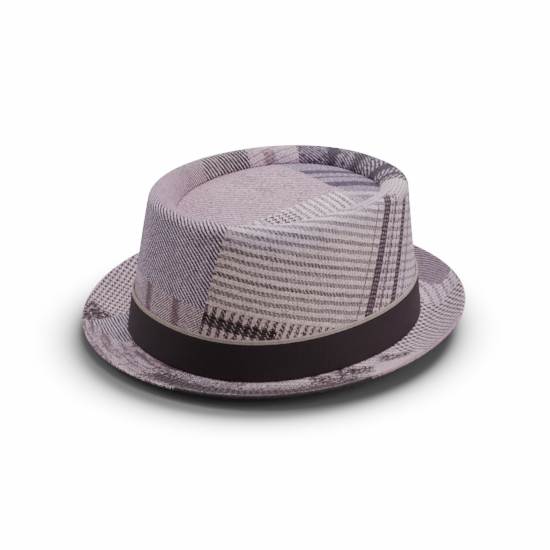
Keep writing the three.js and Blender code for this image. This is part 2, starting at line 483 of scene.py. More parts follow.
def patch_group():
    """Mask of a leaning rectangle: the smallest distance to its four sides, over a soft edge."""
    tree, given, out = start_group(
        "Patch",
        {
            "Place": ("Vector", None),
            "Left": ("Float", 0.0),
            "Right": ("Float", 1.0),
            "Low": ("Float", 0.0),
            "High": ("Float", 1.0),
            "Lean": ("Float", 0.0),
            "Rise": ("Float", 0.0),
            "Soft": ("Float", 0.6),
        },
        {"Mask": "Float"},
    )
    part = split(tree, given["Place"])
    x = calc(tree, "SUBTRACT", part[0], calc(tree, "MULTIPLY", part[1], given["Lean"]))
    y = calc(tree, "SUBTRACT", part[1], calc(tree, "MULTIPLY", part[0], given["Rise"]))
    from_left = calc(tree, "SUBTRACT", x, given["Left"])
    sides = calc(tree, "MINIMUM", from_left, calc(tree, "SUBTRACT", given["Right"], x))
    from_low = calc(tree, "SUBTRACT", y, given["Low"])
    ends = calc(tree, "MINIMUM", from_low, calc(tree, "SUBTRACT", given["High"], y))
    near = calc(tree, "DIVIDE", calc(tree, "MINIMUM", sides, ends), given["Soft"])
    mask = add_node(tree, "ShaderNodeClamp", {"Value": calc(tree, "ADD", near, 0.5)}).outputs[0]
    tree.links.new(mask, out["Mask"])
    return tree


def smudge_group():
    """Mask of soft smudges: noise stretched by the grain, cut at a level and blurred at its edge."""
    tree, given, out = start_group(
        "Smudges",
        {
            "Place": ("Vector", None),
            "Grain": ("Vector", (0.1, 0.1, 0.1)),
            "Level": ("Float", 0.5),
            "Soft": ("Float", 0.08),
        },
        {"Mask": "Float"},
    )
    stretched = vector_calc(tree, "MULTIPLY", given["Place"], given["Grain"])
    blots = noise(tree, stretched, 1.0, 3.0, Roughness=0.6)["Fac"]
    over = calc(tree, "DIVIDE", calc(tree, "SUBTRACT", blots, given["Level"]), given["Soft"])
    mask = add_node(tree, "ShaderNodeClamp", {"Value": calc(tree, "ADD", over, 0.5)}).outputs[0]
    tree.links.new(mask, out["Mask"])
    return tree


def wool_finish_group():
    """Brushed surface: broad clouds between two tints, and short light fibres over the colour."""
    tree, given, out = start_group(
        "Wool finish",
        {
            "Color": ("Color", None),
            "Height": ("Float", 0.0),
            "Object": ("Vector", None),
            "Cool": ("Color", (1.07, 0.96, 1.09, 1.0)),
            "Warm": ("Color", (1.12, 0.99, 1.04, 1.0)),
            "Clouds": ("Float", 0.14),
            "Nubs": ("Float", 1.0),
            "Fibres": ("Float", 0.2),
            "Fibre color": ("Color", (0.62, 0.56, 0.6, 1.0)),
        },
        {"Color": "Color", "Roughness": "Float", "Height": "Float"},
    )
    clouds_per_metre = 34.0
    nubs_per_metre = 900.0
    drifts_per_metre = 14.0
    fibres_per_metre = 1300.0
    cloud = noise(tree, given["Object"], clouds_per_metre, 4.0)["Fac"]
    lift = calc(tree, "MULTIPLY", calc(tree, "SUBTRACT", cloud, 0.5), given["Clouds"])
    nub = noise(tree, given["Object"], nubs_per_metre, 1.0)["Fac"]
    bump = calc(tree, "MULTIPLY", calc(tree, "SUBTRACT", nub, 0.5), given["Nubs"])
    change = calc(tree, "MULTIPLY_ADD", lift, 4.0, calc(tree, "MULTIPLY", bump, 2.0))
    tone = grey(tree, calc(tree, "ADD", change, 1.0))
    clouded = mix_colours(tree, 1.0, given["Color"], tone, "MULTIPLY")
    drift = noise(tree, given["Object"], drifts_per_metre, 1.0)["Fac"]
    side = add_node(tree, "ShaderNodeMapRange", {"Value": drift, 1: 0.35, 2: 0.65}).outputs[0]
    tint = mix_colours(tree, side, given["Cool"], given["Warm"])
    tinted = mix_colours(tree, 1.0, clouded, tint, "MULTIPLY")
    fibre = noise(tree, given["Object"], fibres_per_metre, 2.0, Distortion=2.5)["Fac"]
    strand = add_node(tree, "ShaderNodeMapRange", {"Value": fibre, 1: 0.55, 2: 0.72}).outputs[0]
    brushed = mix_colours(
        tree, calc(tree, "MULTIPLY", strand, given["Fibres"]), tinted, given["Fibre color"]
    )
    rough = calc(tree, "MULTIPLY_ADD", cloud, 0.15, 0.8)
    relief = calc(tree, "ADD", given["Height"], calc(tree, "MULTIPLY", fibre, 0.9))
    tree.links.new(brushed, out["Color"])
    tree.links.new(rough, out["Roughness"])
    tree.links.new(relief, out["Height"])
    return tree


def loose_cloth_group():
    """Cloth place moved by smooth noise, so that its yarns don't run dead straight."""
    tree, given, out = start_group(
        "Loose cloth",
        {"Cloth": ("Vector", None), "Reach": ("Float", 1.6)},
        {"Cloth": "Vector"},
    )
    waves_per_mm = 0.11
    waver = noise(tree, given["Cloth"], waves_per_mm, 2.0)["Color"]
    shift = vector_calc(tree, "SUBTRACT", waver, (0.5, 0.5, 0.5))
    drift = add_node(
        tree, "ShaderNodeVectorMath", {0: shift, "Scale": given["Reach"]}, operation="SCALE"
    ).outputs[0]
    tree.links.new(vector_calc(tree, "ADD", given["Cloth"], drift), out["Cloth"])
    return tree


loose_cloth = loose_cloth_group()
twill_weave = twill_weave_group()
patch_mask = patch_group()
smudges = smudge_group()
wool_finish = wool_finish_group()


def srgb(red, green, blue):
    """Linear colour of a shade given in 0 to 255."""
    scaled = np.array([red, green, blue]) / 255
    linear = np.where(scaled <= 0.04045, scaled / 12.92, ((scaled + 0.055) / 1.055) ** 2.4)
    return (*linear.tolist(), 1.0)


# Cloths of the patchwork. Yarn is a yarn's width in mm, and tall the height of a row in widths.
# Column and row give the yarns in one colour repeat and how many of them are dark, first those
# running up and then those running round. An upright yarn lies over as many rows of every four as
# over says. Blend is how far the yarn below shines through, gap shade how far painted shade darkens
# the colour between yarns and painted light lifts it on their tops, fold the columns after which the
# twill turns back, and tint how much the upright yarns darken where they lie over light rows. Light
# and dark are the colours of the two yarns, from 0 to 255.
# Usually the upright yarns are all dark and the others all light.
usual_cloth = dict(
    over=2.0, blend=0.3, gap_shade=0.5, tall=1.0, fold=100000.0, column=(1, 1), row=(1, 0), tint=0.0
)
cloths = {
    "pale rows": dict(
        yarn=0.71, over=1.5, blend=0.5, gap_shade=0.35, column=(1, 0), row=(8, 4), tint=0.3,
        light=(255, 234, 230), dark=(38, 24, 25),
    ),
    "pink rows": dict(
        yarn=0.71, over=1.5, blend=0.5, gap_shade=0.35, column=(1, 0), row=(8, 4), tint=0.28,
        light=(255, 238, 249), dark=(50, 32, 40),
    ),
    "navy twill": dict(
        yarn=0.75, over=2.4, blend=0.05, gap_shade=0.9, light=(252, 232, 252), dark=(36, 24, 36),
    ),
    "fine twill": dict(
        yarn=0.55, over=2.5, blend=0.1, gap_shade=0.8, light=(206, 186, 202), dark=(34, 22, 32),
    ),
    "tartan": dict(
        yarn=0.5, blend=0.0, gap_shade=0.4, column=(2, 1), row=(2, 1), light=(255, 232, 240),
        dark=(62, 42, 50),
    ),
    "tartan bar": dict(
        yarn=0.5, blend=0.0, gap_shade=0.4, column=(2, 1), row=(2, 1), light=(176, 146, 154),
        dark=(50, 32, 38),
    ),
    "pale lilac": dict(yarn=0.6, column=(4, 1), row=(4, 1), light=(220, 202, 220), dark=(160, 136, 160)),
    "black teeth": dict(
        yarn=0.71, over=1.5, blend=0.0, column=(8, 4), row=(1, 1), light=(224, 200, 198),
        dark=(30, 18, 20),
    ),
    "brown teeth": dict(
        yarn=0.71, over=2.8, blend=0.2, column=(8, 4), row=(8, 1), light=(232, 208, 206),
        dark=(54, 32, 36),
    ),
    "dark stripe": dict(
        yarn=0.71, over=2.8, blend=0.2, gap_shade=0.7, column=(1, 1), row=(4, 2), light=(200, 172, 182),
        dark=(44, 26, 34),
    ),
    "small check": dict(
        yarn=0.71, blend=0.4, column=(8, 2), row=(8, 4), light=(246, 222, 230), dark=(84, 58, 68),
    ),
    "lilac lines": dict(
        yarn=0.71, blend=0.4, column=(6, 2), row=(8, 3), light=(240, 220, 232), dark=(120, 96, 112),
    ),
    "plaid bar": dict(yarn=0.75, over=2.6, blend=0.1, gap_shade=0.9, light=(120, 104, 122), dark=(20, 13, 22)),
    "lavender plaid": dict(
        yarn=0.7, over=2.4, blend=0.1, gap_shade=0.9, light=(186, 170, 194), dark=(88, 74, 98),
    ),
    "pink": dict(yarn=0.6, column=(4, 1), row=(8, 2), light=(222, 198, 210), dark=(146, 118, 134)),
    "houndstooth": dict(
        yarn=0.45, tall=1.35, blend=0.0, gap_shade=0.3, column=(8, 4), row=(8, 4), light=(252, 232, 242),
        dark=(54, 34, 44),
    ),
    "small houndstooth": dict(
        yarn=0.42, tall=1.25, blend=0.0, gap_shade=0.3, column=(8, 4), row=(8, 4), light=(244, 220, 230),
        dark=(80, 54, 66),
    ),
    "mauve": dict(
        yarn=0.5, blend=0.2, column=(1, 0), row=(1, 1), light=(218, 186, 204), dark=(128, 98, 114),
    ),
    "smudge": dict(yarn=0.6, column=(4, 2), row=(4, 2), light=(172, 148, 156), dark=(112, 92, 98)),
    "pale smudge": dict(
        yarn=0.5, gap_shade=0.7, column=(1, 0), row=(1, 1), light=(252, 234, 244), dark=(200, 178, 190),
    ),
    "brim navy": dict(yarn=0.75, over=2.4, blend=0.05, gap_shade=0.9, light=(240, 220, 242), dark=(14, 8, 16)),
    "thin stripe": dict(
        yarn=0.71, over=2.8, gap_shade=0.7, column=(1, 1), row=(4, 1), light=(210, 186, 192),
        dark=(70, 46, 54),
    ),
    "stroke twill": dict(
        yarn=0.95, tall=1.2, over=2.6, blend=0.02, gap_shade=0.7, light=(255, 242, 250), dark=(40, 25, 33),
    ),
    "pale stroke twill": dict(
        yarn=0.66, tall=1.3, over=2.6, blend=0.1, gap_shade=0.7, light=(255, 240, 248), dark=(106, 80, 94),
    ),
    "tip twill": dict(
        yarn=1.0, blend=0.4, gap_shade=0.6, column=(1, 0), row=(1, 1), light=(232, 200, 214),
        dark=(132, 104, 118),
    ),
    "soft brown": dict(
        yarn=0.5, gap_shade=0.7, column=(1, 0), row=(1, 1), light=(170, 140, 152), dark=(96, 72, 82),
    ),
    # Painted shade: a near-black cloth that stands in for the shade on the brim's rounded edge, not a
    # cloth of the hat.
    "shaded edge": dict(
        yarn=0.5, gap_shade=0.7, column=(1, 0), row=(1, 1), light=(66, 54, 57), dark=(28, 21, 24),
    ),
    "lavender bar": dict(
        yarn=0.7, over=2.4, blend=0.1, gap_shade=0.9, light=(104, 88, 112), dark=(36, 26, 42),
    ),
    "rim lines": dict(
        yarn=0.6, blend=0.4, column=(1, 0), row=(4, 2), tint=0.1, light=(250, 230, 242),
        dark=(104, 80, 96),
    ),
    "dark speckle": dict(
        yarn=0.75, tall=0.8, fold=5, blend=0.1, gap_shade=0.6, column=(5, 3), row=(3, 2),
        light=(116, 93, 105), dark=(18, 11, 15),
    ),
    "brim rows": dict(
        yarn=0.55, column=(1, 0), row=(8, 4), tint=0.12, light=(250, 228, 238), dark=(60, 40, 52),
    ),
    "night twill": dict(
        yarn=0.75, over=2.4, blend=0.05, gap_shade=0.9, light=(184, 168, 190), dark=(22, 14, 26),
    ),
    "light speck": dict(
        yarn=0.5, gap_shade=0.6, column=(4, 1), row=(4, 1), light=(214, 200, 218), dark=(110, 94, 114),
    ),
    "night speck": dict(
        yarn=0.6, over=2.6, blend=0.1, gap_shade=0.9, light=(120, 104, 124), dark=(18, 12, 20),
    ),
    "coarse night twill": dict(
        yarn=1.1, over=2.4, blend=0.05, gap_shade=0.9, light=(206, 190, 212), dark=(24, 15, 28),
    ),
    "speckled line": dict(
        yarn=0.75, blend=0.1, gap_shade=0.6, column=(5, 3), row=(3, 2), light=(96, 80, 92),
        dark=(22, 15, 22),
    ),
    "plain back": dict(yarn=0.5, column=(1, 0), row=(1, 1), light=(150, 128, 140), dark=(112, 92, 104)),
}

# Patches of the crown side, each laid over those before it. Left, right, low and high are its edges
# in mm. On "place" they run round from the front towards the wearer's left and up the wall, and on
# "cloth" they follow the yarns. Lean and rise slant the edges, and soft is the width over which they
# fade. Weave names the map that the yarns follow, and turn and shift turn and move them. Grain,
# level and blur break a patch up into smudges. The face behind lies 1000 mm further up on both
# maps, and there the plain back covers it.
usual_patch = dict(on="place", weave="cloth", turn=0.0, shift=(0.0, 0.0), blur=0.1)
patch_edges = dict(left=-900.0, right=900.0, low=-900.0, high=900.0, lean=0.0, rise=0.0, soft=0.6)
left_back = dict(left=240, right=400, low=62, weave="place")
right_back = dict(left=-400, right=-222, low=52, weave="place")
back_seam = dict(cloth="night speck", low=-10, high=200, soft=0.2)
plain_back = dict(cloth="plain back", low=500, high=3000)
side_patches = [
    dict(cloth="pale rows", shift=(0, 2.16)),
    dict(cloth="pink rows", left=40, right=245, low=84, high=200, shift=(0, 2.16), soft=12),
    dict(cloth="brown teeth", on="cloth", left=40, right=154, low=0, high=51.6, shift=(0, 5.3)),
    dict(cloth="black teeth", on="cloth", left=40, right=90, low=38.2, high=45.4),
    dict(cloth="small check", on="cloth", left=165, right=184, shift=(0, 2.16)),
    dict(cloth="lilac lines", on="cloth", left=189, right=420, shift=(0, 2.16)),
    dict(cloth="thin stripe", on="cloth", left=151, right=152.4),
    dict(cloth="dark stripe", on="cloth", left=159.5, right=168),
    dict(cloth="thin stripe", on="cloth", left=174, right=176),
    dict(cloth="dark stripe", on="cloth", left=188, right=195),
    dict(cloth="thin stripe", on="cloth", left=204, right=206),
    dict(cloth="rim lines", left=150, right=245, low=94, high=200, soft=3, weave="place"),
    dict(cloth="rim lines", left=208, right=245, low=83, high=200, soft=3, weave="place"),
    dict(left_back, cloth="coarse night twill", turn=-15),
    dict(left_back, cloth="light speck", grain=(0.5, 0.7, 1), level=0.62, blur=0.08),
    dict(left_back, cloth="night speck", grain=(0.25, 0.35, 1), level=0.57, turn=80),
    dict(left_back, cloth="plaid bar", left=250, right=256, soft=3, turn=80),
    dict(left_back, cloth="plaid bar", left=267, right=278, soft=4, turn=80),
    dict(cloth="tartan", on="cloth", left=-210, right=40.4, low=-10, high=400),
    dict(cloth="tartan bar", left=-23, right=-17, high=46, soft=3),
    dict(cloth="tartan bar", left=5, right=11, high=46, soft=3),
    dict(cloth="navy twill", on="cloth", left=-70, right=40.4, low=46.5, high=400),
    dict(cloth="pale lilac", left=-62, right=-30, low=38, high=45),
    dict(cloth="houndstooth", left=-175, right=-70, low=-10, high=60),
    dict(cloth="mauve", left=-119, right=20, low=98.5, turn=45),
    dict(cloth="pale stroke twill", left=-130, right=-88, low=60, weave="place", soft=8),
    dict(cloth="stroke twill", left=-175, right=-122, low=60, weave="place", soft=3),
    dict(cloth="pink", left=-223, right=-175, low=60),
    dict(cloth="smudge", left=-201, right=-190, low=101, high=111, soft=4),
    dict(right_back, cloth="night twill", turn=-15),
    dict(right_back, cloth="light speck", grain=(0.5, 0.7, 1), level=0.62, blur=0.08),
    dict(right_back, cloth="night speck", grain=(0.25, 0.35, 1), level=0.57, turn=-15),
    dict(right_back, cloth="plaid bar", left=-258, right=-248, soft=4, turn=-15),
    dict(right_back, cloth="plaid bar", left=-285, right=-275, soft=4, turn=-15),
    dict(cloth="pale rows", left=-400, right=-195, low=-10, high=52),
    dict(back_seam, left=291.3, right=300),
    dict(back_seam, left=-300, right=-291.3),
    plain_back,
]


def mix_vectors(tree, share, low, high):
    """low + share * (high - low)."""
    made = add_node(tree, "ShaderNodeMix", {0: share, 4: low, 5: high}, data_type="VECTOR")
    return made.outputs[1]


def patchwork(tree, patches, finish):
    """The last patch that covers a place gives its cloth there. A patch covers the places whose mask
    is above a number drawn for each half millimetre, so a soft edge comes out as mixed fibres."""
    patches = [{**usual_patch, **patch_edges, **patch} for patch in patches]
    maps = sorted({patch[part] for patch in patches for part in ("on", "weave")})
    raw = {name: add_node(tree, "ShaderNodeUVMap", uv_map=name).outputs[0] for name in maps}
    loose = {name: use_group(tree, loose_cloth, {"Cloth": raw[name]})["Cloth"] for name in maps}
    fibre_mm = 0.5
    lot = draw_lot(tree, vector_calc(tree, "SNAP", raw["cloth"], (fibre_mm, fibre_mm, fibre_mm)))
    chosen = {}
    for patch in patches:
        kind = {**usual_cloth, **cloths[patch["cloth"]]}
        wanted = {
            "Cloth": loose[patch["weave"]],
            "Lie": (math.radians(patch["turn"]), *patch["shift"]),
            "Yarn": (kind["yarn"], kind["yarn"] * kind["tall"], kind["fold"]),
            "Weave": (kind["over"], kind["blend"], kind["gap_shade"]),
            "Columns": (*kind["column"], 0.0),
            "Rows": (*kind["row"], kind["tint"]),
            "Light": srgb(*kind["light"])[:3],
            "Dark": srgb(*kind["dark"])[:3],
        }
        if not chosen:
            chosen = wanted
            continue
        edges = {label.capitalize(): patch[label] for label in patch_edges}
        mask = use_group(tree, patch_mask, {"Place": raw[patch["on"]], **edges})["Mask"]
        if "grain" in patch:
            broken = {
                "Place": raw[patch["weave"]],
                "Grain": patch["grain"],
                "Level": patch["level"],
                "Soft": patch["blur"],
            }
            mask = calc(tree, "MULTIPLY", mask, use_group(tree, smudges, broken)["Mask"])
        covers = calc(tree, "GREATER_THAN", mask, lot)
        chosen = {
            label: mix_vectors(tree, covers, chosen[label], value) for label, value in wanted.items()
        }
    woven = use_group(tree, twill_weave, chosen)
    where = add_node(tree, "ShaderNodeTexCoord").outputs["Object"]
    given = {"Color": woven["Color"], "Height": woven["Height"], "Object": where, **finish}
    return use_group(tree, wool_finish, given)


def start_material(name):
    """New material, with its node tree and its Principled BSDF."""
    material = bpy.data.materials.new(name)
    material.use_nodes = True
    return material, material.node_tree, material.node_tree.nodes["Principled BSDF"]


def add_relief(tree, shader, height, strength, distance):
    """Bump node from a height to the shader's normal."""
    values = {"Height": height, "Strength": strength, "Distance": distance}
    tree.links.new(add_node(tree, "ShaderNodeBump", values).outputs[0], shader.inputs["Normal"])


def wool_material(name, patches, finish=None):
    """Patchwork wool: matt, with a little sheen from its nap, and the weave as relief."""
    material, tree, shader = start_material(name)
    made = patchwork(tree, patches, finish or {})
    tree.links.new(made["Color"], shader.inputs["Base Color"])
    tree.links.new(made["Roughness"], shader.inputs["Roughness"])
    add_relief(tree, shader, made["Height"], 0.8, 0.0003)
    shader.inputs["Specular IOR Level"].default_value = 0.2
    shader.inputs["Sheen Weight"].default_value = 0.12
    shader.inputs["Sheen Roughness"].default_value = 0.5
    shader.inputs["Sheen Tint"].default_value = (0.95, 0.88, 0.93, 1.0)
    return material


crown_side.data.materials.append(wool_material("Patchwork_side", side_patches))
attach(crown_side, "root")
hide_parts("crown_side")


# Crown tip
# An oval of plain mauve wool with a pale check along the wearer's left and a lavender plaid at
# the back, sewn to the end of the inner wall and pressed into a low soft swell.
tip_rise = 0.005
tip_clear = 0.0003
tip_tuck = cloth_thick * 0.85
tip_columns = 576
tip_rows = 60


def tip_surface(angle, share):
    """Line from the middle to the seam in plan. Its height goes to the seam's with the square of the
    share and swells in the middle by one less the fourth power."""
    edge = beside(ridge_oval, angle, -round_curve("inset", well_inset, angle), 0.0)
    level = np.mean(seam_height(np.array([0.0, math.pi])))
    middle = np.array([0.0, ridge_middle_y, 0.0])
    point = middle + (edge - middle) * share[..., None]
    swell = tip_rise * (1 - share**4)
    point[..., 2] = level + (seam_height(angle) - level) * share**2 + swell - tip_clear
    return point


def tip_margin(angle):
    """Row tucked outwards under the end of the inner wall."""
    out = -round_curve("inset", well_inset, angle) + tip_tuck
    return beside(ridge_oval, angle, out, seam_height(angle) - tip_clear)


def disc_piece(name, rows, **maps):
    """Closed disc of quads from the middle of one face to the middle of the other; the first and
    last rows are single points."""
    count, around = rows.shape[:2]
    corner_r, corner_c = quad_corners(count - 1, around)
    faces = corner_r * around + corner_c % around
    piece = finish_mesh(name, rows.reshape(-1, 3), faces, corner_r, corner_c, maps)
    shell = bmesh.new()
    shell.from_mesh(piece.data)
    bmesh.ops.remove_doubles(shell, verts=shell.verts, dist=1e-7)
    shell.to_mesh(piece.data)
    shell.free()
    return piece


tip_angles = np.linspace(-math.pi, math.pi, tip_columns + 1)[:-1]
tip_share, tip_angle = even_rows(tip_rows, (0, 1), tip_angles)
tip_top = np.concatenate([tip_surface(tip_angle, tip_share), tip_margin(tip_angles)[None]])
tip_below = tip_top.copy()
tip_below[..., 2] -= cloth_thick
tip_all = np.concatenate([tip_below, tip_top[::-1]])
tip_plan = np.concatenate([tip_all, tip_all[:, :1]], axis=1)[..., :2] * 1000
tip_plan[: tip_below.shape[0]] += lining_shift
tip_plan = closed(tip_plan)
crown_tip = disc_piece("Crown_tip_cloth", tip_all, cloth=tip_plan, place=tip_plan)

tip_bar = dict(cloth="lavender bar", low=41, high=100, lean=0.5, turn=40, soft=2)
tip_patches = [
    dict(cloth="tip twill", turn=87),
    dict(cloth="pink rows", left=18, right=100, low=-40, high=36, turn=12),
    dict(cloth="houndstooth", left=20, right=36, low=-30, high=-9, turn=12),
    dict(cloth="lavender plaid", low=41, high=100, turn=40),
    dict(cloth="light speck", low=41, high=100, grain=(0.5, 0.5, 1), level=0.6, blur=0.08),
    dict(tip_bar, left=-43.5, right=-36.5),
    dict(tip_bar, left=-18.4, right=-8.4, low=40),
    dict(tip_bar, left=-30, right=-27.5, low=40),
    dict(cloth="pale smudge", left=3, right=9, low=36, high=60, lean=0.5, turn=-28, soft=2),
    plain_back,
]
crown_tip.data.materials.append(wool_material("Patchwork_tip", tip_patches, {"Nubs": 1.5}))
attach(crown_tip, "root")
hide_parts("crown_tip")


# Brim
# One ring of the patchwork cloth, pressed flat under the crown and turned up to a soft edge,
# lowest at the front and highest at the back.
brim_width = 0.0365
brim_rise = 0.015
brim_flat = 0.004
brim_bend = 1.7
brim_columns = 576
brim_rows = 36
edge_rows = 10
root_rows = 5


def brim_surface(angle, share, turn):
    """Sheet whose middle rises with the power brim_bend of its way out; the point lies half a
    thickness from the middle, at a turn from the sheet's own slope."""
    swell = quarter_swell(angle) * np.hypot(foot_length, foot_width) / 2 / math.sqrt(2)
    reach = round_curve("brim", brim_width, angle) - cloth_thick / 2 - swell
    rise = round_curve("lift", brim_rise, angle) - cloth_thick / 2
    out = brim_flat + (reach - brim_flat) * share
    z = cloth_thick / 2 + rise * share**brim_bend
    slope = rise * brim_bend * share ** (brim_bend - 1) / (reach - brim_flat)
    way = np.arctan(slope) + turn
    half = cloth_thick / 2
    return beside(foot_oval, angle, out + half * np.cos(way), z + half * np.sin(way))


brim_angles = np.linspace(-math.pi, math.pi, brim_columns + 1)
inner_lines = np.linspace(-cloth_thick, brim_flat, root_rows + 1)[:-1]
inner_out, inner_angle = np.meshgrid(inner_lines, brim_angles, indexing="ij")
root_below = beside(foot_oval, inner_angle, inner_out, 0.0)
root_above = beside(foot_oval, inner_angle, inner_out, cloth_thick)
brim_share, brim_angle = even_rows(brim_rows, (0, 1), brim_angles)
quarter = math.pi / 2
edge_turn, edge_angle = np.meshgrid(
    np.linspace(-quarter, quarter, edge_rows + 1)[1:-1], brim_angles, indexing="ij"
)
brim_grid = np.concatenate([
    root_below,
    brim_surface(brim_angle, brim_share, -quarter),
    brim_surface(edge_angle, np.ones_like(edge_angle), edge_turn),
    brim_surface(brim_angle, brim_share, quarter)[::-1],
    root_above[::-1],
])
brim_out_mm = path_lengths(brim_grid) * 1000
brim_out_mm = brim_out_mm - brim_out_mm[inner_lines.size + brim_rows + edge_rows // 2 - 1]
brim_arc_mm = oval_lengths_mm(foot_oval, brim_angles, brim_width / 2)
brim_arc_mm = brim_arc_mm - brim_arc_mm[brim_columns // 2]
brim_round = np.stack([np.broadcast_to(brim_arc_mm, brim_out_mm.shape), brim_out_mm], -1)
brim_unrolled = np.abs(brim_out_mm[-1:]) - np.abs(brim_out_mm)
brim_plan = beside(foot_oval, np.broadcast_to(brim_angles, brim_out_mm.shape), brim_unrolled / 1000, 0.0)
brim_plan = brim_plan[..., :2] * 1000
brim_plan[: root_below.shape[0] + brim_rows + 1] += lining_shift
brim_plan = closed(brim_plan)
brim_round = closed(brim_round)
brim = ring_piece("Brim_cloth", brim_grid[:, :-1], cloth=brim_plan, place=brim_plan, round=brim_round)

# Patches of the brim. On "place" their edges are mm in plan, towards the wearer's left and the back,
# and on "round" they are mm round from the front and in from the edge over the upper face.
dark_bar = dict(
    cloth="dark speckle", weave="place", lean=0.917, rise=-0.917, turn=-47,
    grain=(0.45, 0.2, 2), blur=0.16,
)
front_streaks = dict(cloth="soft brown", low=-200, high=-50)
round_map = dict(on="round", weave="round")
brim_patches = [
    dict(cloth="pink rows", turn=30),
    dict(cloth="houndstooth", left=50, right=200, low=3, high=200, turn=-72),
    dict(cloth="lilac lines", left=30, right=66, low=88, high=200, weave="round"),
    dict(cloth="fine twill", left=-20, right=50, low=108, high=200, turn=-65),
    dict(cloth="brim rows", left=60, right=200, low=-200, high=22, turn=-47),
    dict(round_map, cloth="mauve", left=110, right=240, low=-9, high=4, soft=3),
    dict(dark_bar, left=78, right=93, low=90, high=118, soft=6, level=0.43),
    dict(dark_bar, left=102, right=121, low=50, high=84, soft=7, level=0.42),
    dict(dark_bar, left=118, right=140, low=30, high=62, soft=7, level=0.44),
    dict(cloth="pale smudge", left=-66, right=70, low=-200, high=-60, weave="round"),
    dict(front_streaks, left=-80, right=60, weave="round", grain=(0.035, 0.26, 1), level=0.5, blur=0.2),
    dict(front_streaks, left=-74, right=30, weave="place", grain=(0.16, 0.07, 3), level=0.57, blur=0.22),
    dict(
        round_map, cloth="dark speckle", left=8, right=150, low=2, high=24, soft=14,
        grain=(0.07, 0.16, 2), level=0.29, blur=0.2,
    ),
    dict(
        round_map, cloth="speckled line", left=30, right=112, low=4.5, high=9, soft=1.5,
        grain=(0.11, 0.2, 4), level=0.42, blur=0.12,
    ),
    # Painted shade on the brim's rounded edge, from the front round the wearer's left.
    dict(round_map, cloth="shaded edge", left=35, right=150, low=-30, high=4.5, soft=4),
    dict(cloth="small houndstooth", left=-200, right=-70.6, low=-110, high=200, turn=-30),
    dict(
        cloth="dark speckle", left=-90, right=-69, low=-104, high=-82, soft=5,
        grain=(0.15, 0.15, 1), level=0.42, blur=0.2,
    ),
    dict(cloth="brim navy", left=-70.6, right=-38, low=-102, high=-60, turn=-22),
    plain_back,
]
brim.data.materials.append(wool_material("Patchwork_brim", brim_patches))
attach(brim, "root")
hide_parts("brim")


# Hatband
# A dark aubergine grosgrain ribbon, wrapped round the foot of the crown. Its ribs stand upright,
# and its lower selvedge rests just above the brim.
ribbon_height = 0.0242
ribbon_dip = 0.0011
ribbon_thick = 0.0012
band_clear = 0.0003
ribbon_low = foot_z + band_clear
ribbon_top = ribbon_low + ribbon_height
band_columns = 720
back_rows = 8
face_rows = 22
edge_steps = 4
ribs_around = 640
ribbon_colour = (0.017, 0.0094, 0.0125, 1)
ribbon_painted_sheen = (0.046, 0.025, 0.036, 1)
band_angles = np.linspace(-math.pi, math.pi, band_columns + 1)


def band_point(angle, z, out):
    """Point on the wall's slope at a height, moved out along the foot's normal. The top of the band
    dips a little on the wearer's left."""
    z = z - ribbon_dip * np.sin(angle) * (z - ribbon_low) / ribbon_height
    top = rim_surface(angle, rim_start)[..., 2]
    return wall_surface(angle, (z - foot_z) / (top - foot_z), out)


def band_rows(angles, levels, outs):
    """Rows of a band, one for each pair of level and distance out."""
    level, angle = np.meshgrid(levels, angles, indexing="ij")
    out = np.broadcast_to(np.asarray(outs)[:, None], level.shape)
    return band_point(angle, level, out)


edge_round = np.linspace(0, quarter, edge_steps + 1)
edge_size = ribbon_thick * 0.4
face_levels = np.linspace(ribbon_low + edge_size, ribbon_top - edge_size, face_rows)
ribbon_levels = np.concatenate([
    np.linspace(ribbon_top, ribbon_low, back_rows),
    ribbon_low + edge_size * (1 - np.cos(edge_round))[:-1],
    face_levels,
    ribbon_top - edge_size * (1 - np.sin(edge_round + quarter))[1:],
])
ribbon_outs = band_clear + np.concatenate([
    np.zeros(back_rows),
    ribbon_thick - edge_size * (1 - np.sin(edge_round))[:-1],
    np.full(face_rows, ribbon_thick),
    ribbon_thick - edge_size * (1 - np.cos(edge_round))[1:],
])
ribbon_grid = band_rows(band_angles, ribbon_levels, ribbon_outs)
band_arc_mm = oval_lengths_mm(foot_oval, band_angles, 0.0)
ribbon_arc = np.broadcast_to(band_arc_mm, ribbon_grid.shape[:2])
ribbon_map = np.stack([ribbon_arc, ribbon_grid[..., 2] * 1000], -1)
hatband = ring_piece("Hatband_ribbon", ribbon_grid[:, :-1], cloth=closed(ribbon_map))


